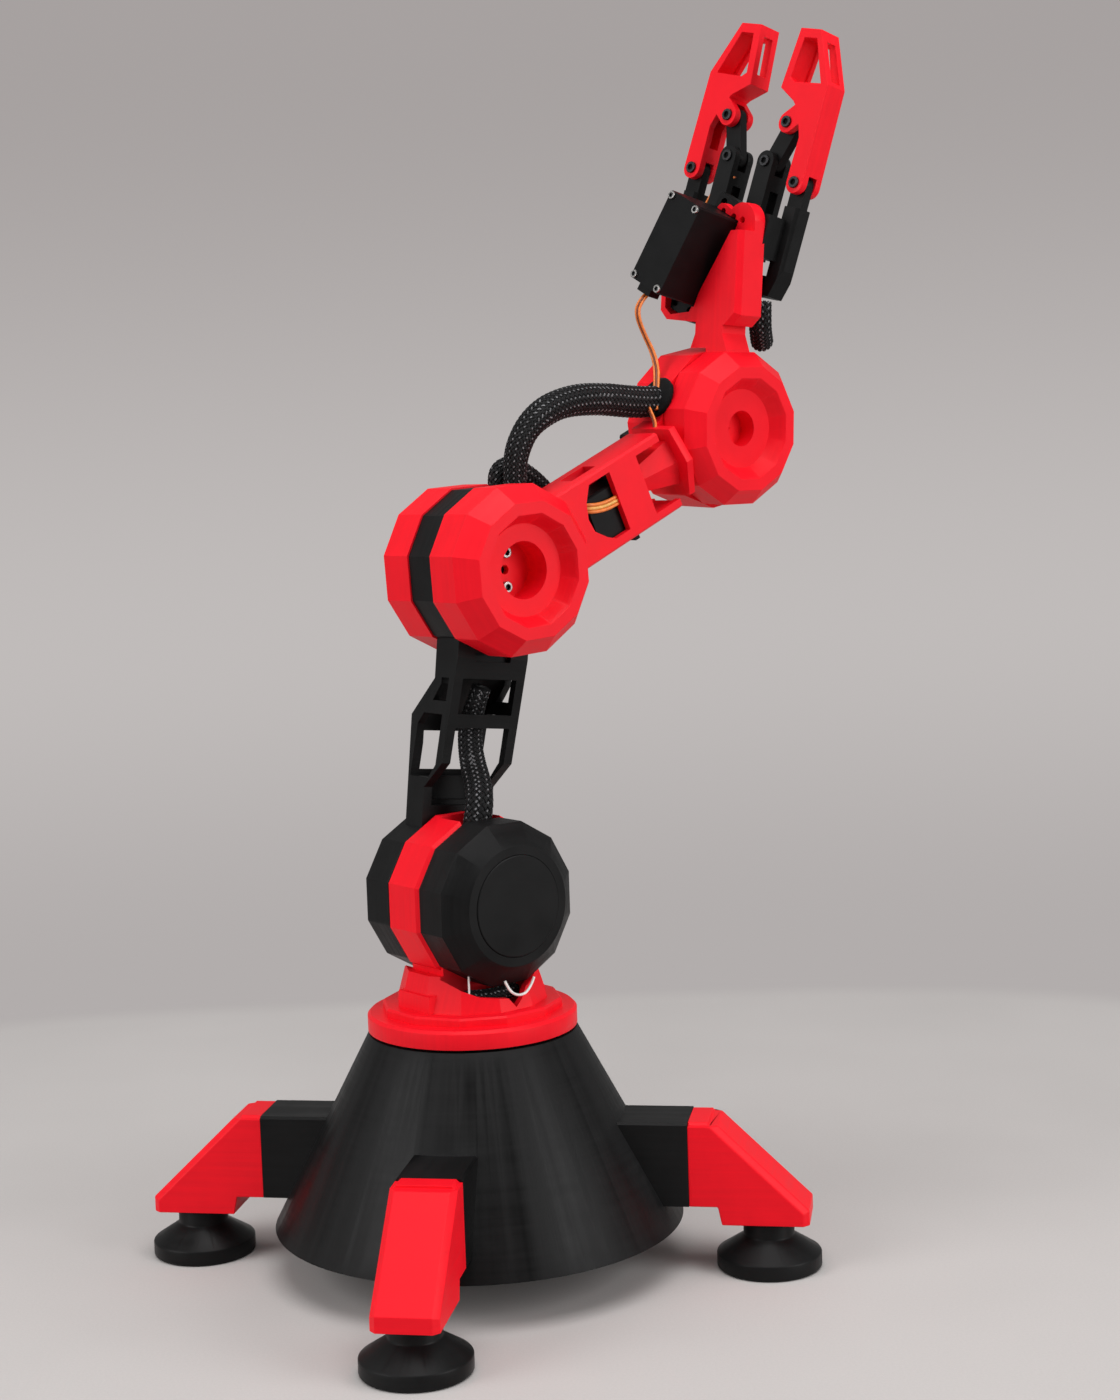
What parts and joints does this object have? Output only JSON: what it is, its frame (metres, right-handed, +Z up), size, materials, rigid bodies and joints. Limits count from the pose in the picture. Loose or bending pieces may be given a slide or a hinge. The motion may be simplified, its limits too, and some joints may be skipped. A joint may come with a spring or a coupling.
{
  "type": "articulated desktop robot arm",
  "caption": "Desktop robot arm with a cone base on legs, a turntable, faceted shoulder, elbow and wrist drums, an open lattice arm, a rolling wrist and a linked two-finger gripper.",
  "frame": {"origin": "on the table under the waist axis, at the level of the feet", "axes": "+Z up along the waist axis; +X the side that the arm leans and reaches to; joint axes of shoulder and elbow along Y, the shoulder cap faces -Y"},
  "size_m": [0.295, 0.2214, 0.515],
  "materials": {
    "red_print": "bright red printed plastic, satin, fine layer lines",
    "black_print": "black printed plastic, satin, fine layer lines",
    "servo_case": "moulded black plastic, fine texture",
    "horn_plastic": "black moulded plastic",
    "steel_screw": "plain steel",
    "black_screw": "blackened steel",
    "black_braid": "black braided polyester sleeve with pale flecks",
    "orange_wire": "flat servo lead, orange, red and brown wires",
    "white_wire": "white insulated wire"
  },
  "bodies": {
    "base": {"base_cone": "black_print", "leg_rear_right": "red_print", "leg_rear_left": "red_print", "leg_front_left": "red_print", "leg_front_right": "red_print", "foot_rear_right": "black_print", "foot_rear_left": "black_print", "foot_front_left": "black_print", "foot_front_right": "black_print", "foot_screws": "steel_screw", "leg_bolts": "steel_screw", "waist_servo": "servo_case", "waist_thrust_ring": "black_print"},
    "turntable": {"turntable": "red_print", "waist_horn": "horn_plastic", "shoulder_servo": "servo_case", "shoulder_cover": "black_print", "shoulder_cap": "black_print", "sleeve_base": "black_braid", "wire_loop": "white_wire"},
    "upper_arm": {"shoulder_far_drum": "black_print", "shoulder_horn": "horn_plastic", "upper_arm": "black_print", "elbow_servo": "servo_case", "elbow_far_drum": "red_print", "sleeve_upper": "black_braid"},
    "forearm": {"forearm": "red_print", "elbow_horn": "horn_plastic", "elbow_hub_screws": "steel_screw", "roll_servo": "servo_case", "sleeve_forearm": "black_braid", "sleeve_elbow": "black_braid", "ribbon_roll": "orange_wire"},
    "wrist": {"wrist_bracket": "red_print", "wrist_servo": "servo_case", "roll_horn": "horn_plastic"},
    "hand": {"hand_bracket": "red_print", "wrist_horn": "horn_plastic", "gripper_servo": "servo_case", "gripper_cover_screws": "black_screw", "gripper_frame": "black_print", "hinge_pins": "steel_screw", "sleeve_hand": "black_braid", "ribbon_gripper": "orange_wire"},
    "crank": {"crank": "horn_plastic", "crank_pin": "steel_screw"},
    "rod": {"connecting_rod": "black_print"},
    "fork": {"fork": "black_print", "fork_pins": "steel_screw"},
    "finger_right": {"finger_right": "red_print", "link_pin_right": "steel_screw"},
    "finger_left": {"finger_left": "red_print", "link_pin_left": "steel_screw"},
    "link_right": {"link_right": "black_print"},
    "link_left": {"link_left": "black_print"}
  },
  "joints": [
    {"name": "waist", "type": "hinge", "parent": "base", "child": "turntable", "pos_m": [0, 0, 0.0987], "axis": [0, 0, 1], "range_deg": [-90, 90]},
    {"name": "shoulder", "type": "hinge", "parent": "turntable", "child": "upper_arm", "pos_m": [0, 0, 0.152], "axis": [0, 1, 0], "range_deg": [-60, 65]},
    {"name": "elbow", "type": "hinge", "parent": "upper_arm", "child": "forearm", "pos_m": [0.01552, 0, 0.28409], "axis": [0, 1, 0], "range_deg": [-40, 50]},
    {"name": "wrist_roll", "type": "hinge", "parent": "forearm", "child": "wrist", "pos_m": [0.01478, -0.0095, 0.28574], "axis": [0.9135, 0, 0.4067], "range_deg": [-30, 30]},
    {"name": "wrist_pitch", "type": "hinge", "parent": "wrist", "child": "hand", "pos_m": [0.13773, 0.00008, 0.33905], "axis": [-0.0213, 0.9986, 0.0478], "range_deg": [-30, 60]},
    {"name": "finger_right_swing", "type": "hinge", "parent": "hand", "child": "finger_right", "pos_m": [0.16549, -0.03575, 0.44011], "axis": [0.9768, 0.0991, -0.1901], "range_deg": [-9, 8]},
    {"name": "finger_left_swing", "type": "hinge", "parent": "hand", "child": "finger_left", "pos_m": [0.16194, 0.02434, 0.4532], "axis": [-0.9768, -0.0991, 0.1901], "range_deg": [-9.02, 8.02]},
    {"name": "fork_travel", "type": "slide", "parent": "hand", "child": "fork", "axis": [0.2065, -0.1965, 0.9585], "range_m": [-0.00353, 0.00314]},
    {"name": "crank_turn", "type": "hinge", "parent": "hand", "child": "crank", "pos_m": [0.15033, 0.00344, 0.40102], "axis": [0.9768, 0.0991, -0.1901], "range_deg": [-24.23, 21.54]},
    {"name": "rod_turn", "type": "hinge", "parent": "crank", "child": "rod", "pos_m": [0.1528, 0.01154, 0.40215], "axis": [0.9768, 0.0991, -0.1901], "range_deg": [-21.32, 23.99]},
    {"name": "link_right_turn", "type": "hinge", "parent": "fork", "child": "link_right", "pos_m": [0.16587, -0.01807, 0.45127], "axis": [0.9768, 0.0991, -0.1901], "range_deg": [-12.62, 11.22]},
    {"name": "link_left_turn", "type": "hinge", "parent": "fork", "child": "link_left", "pos_m": [0.16458, 0.00378, 0.45603], "axis": [-0.9768, -0.0991, 0.1901], "range_deg": [-12.62, 11.22]}
  ],
  "couplings": [
    {"joint": "finger_left_swing", "follows": "finger_right_swing", "ratio": 1},
    {"joint": "fork_travel", "follows": "finger_right_swing", "m_per_rad": 0.022345},
    {"joint": "crank_turn", "follows": "finger_right_swing", "ratio": 2.69},
    {"joint": "rod_turn", "follows": "finger_right_swing", "ratio": -2.6631},
    {"joint": "link_right_turn", "follows": "finger_right_swing", "ratio": 1.4},
    {"joint": "link_left_turn", "follows": "finger_right_swing", "ratio": 1.4}
  ]
}
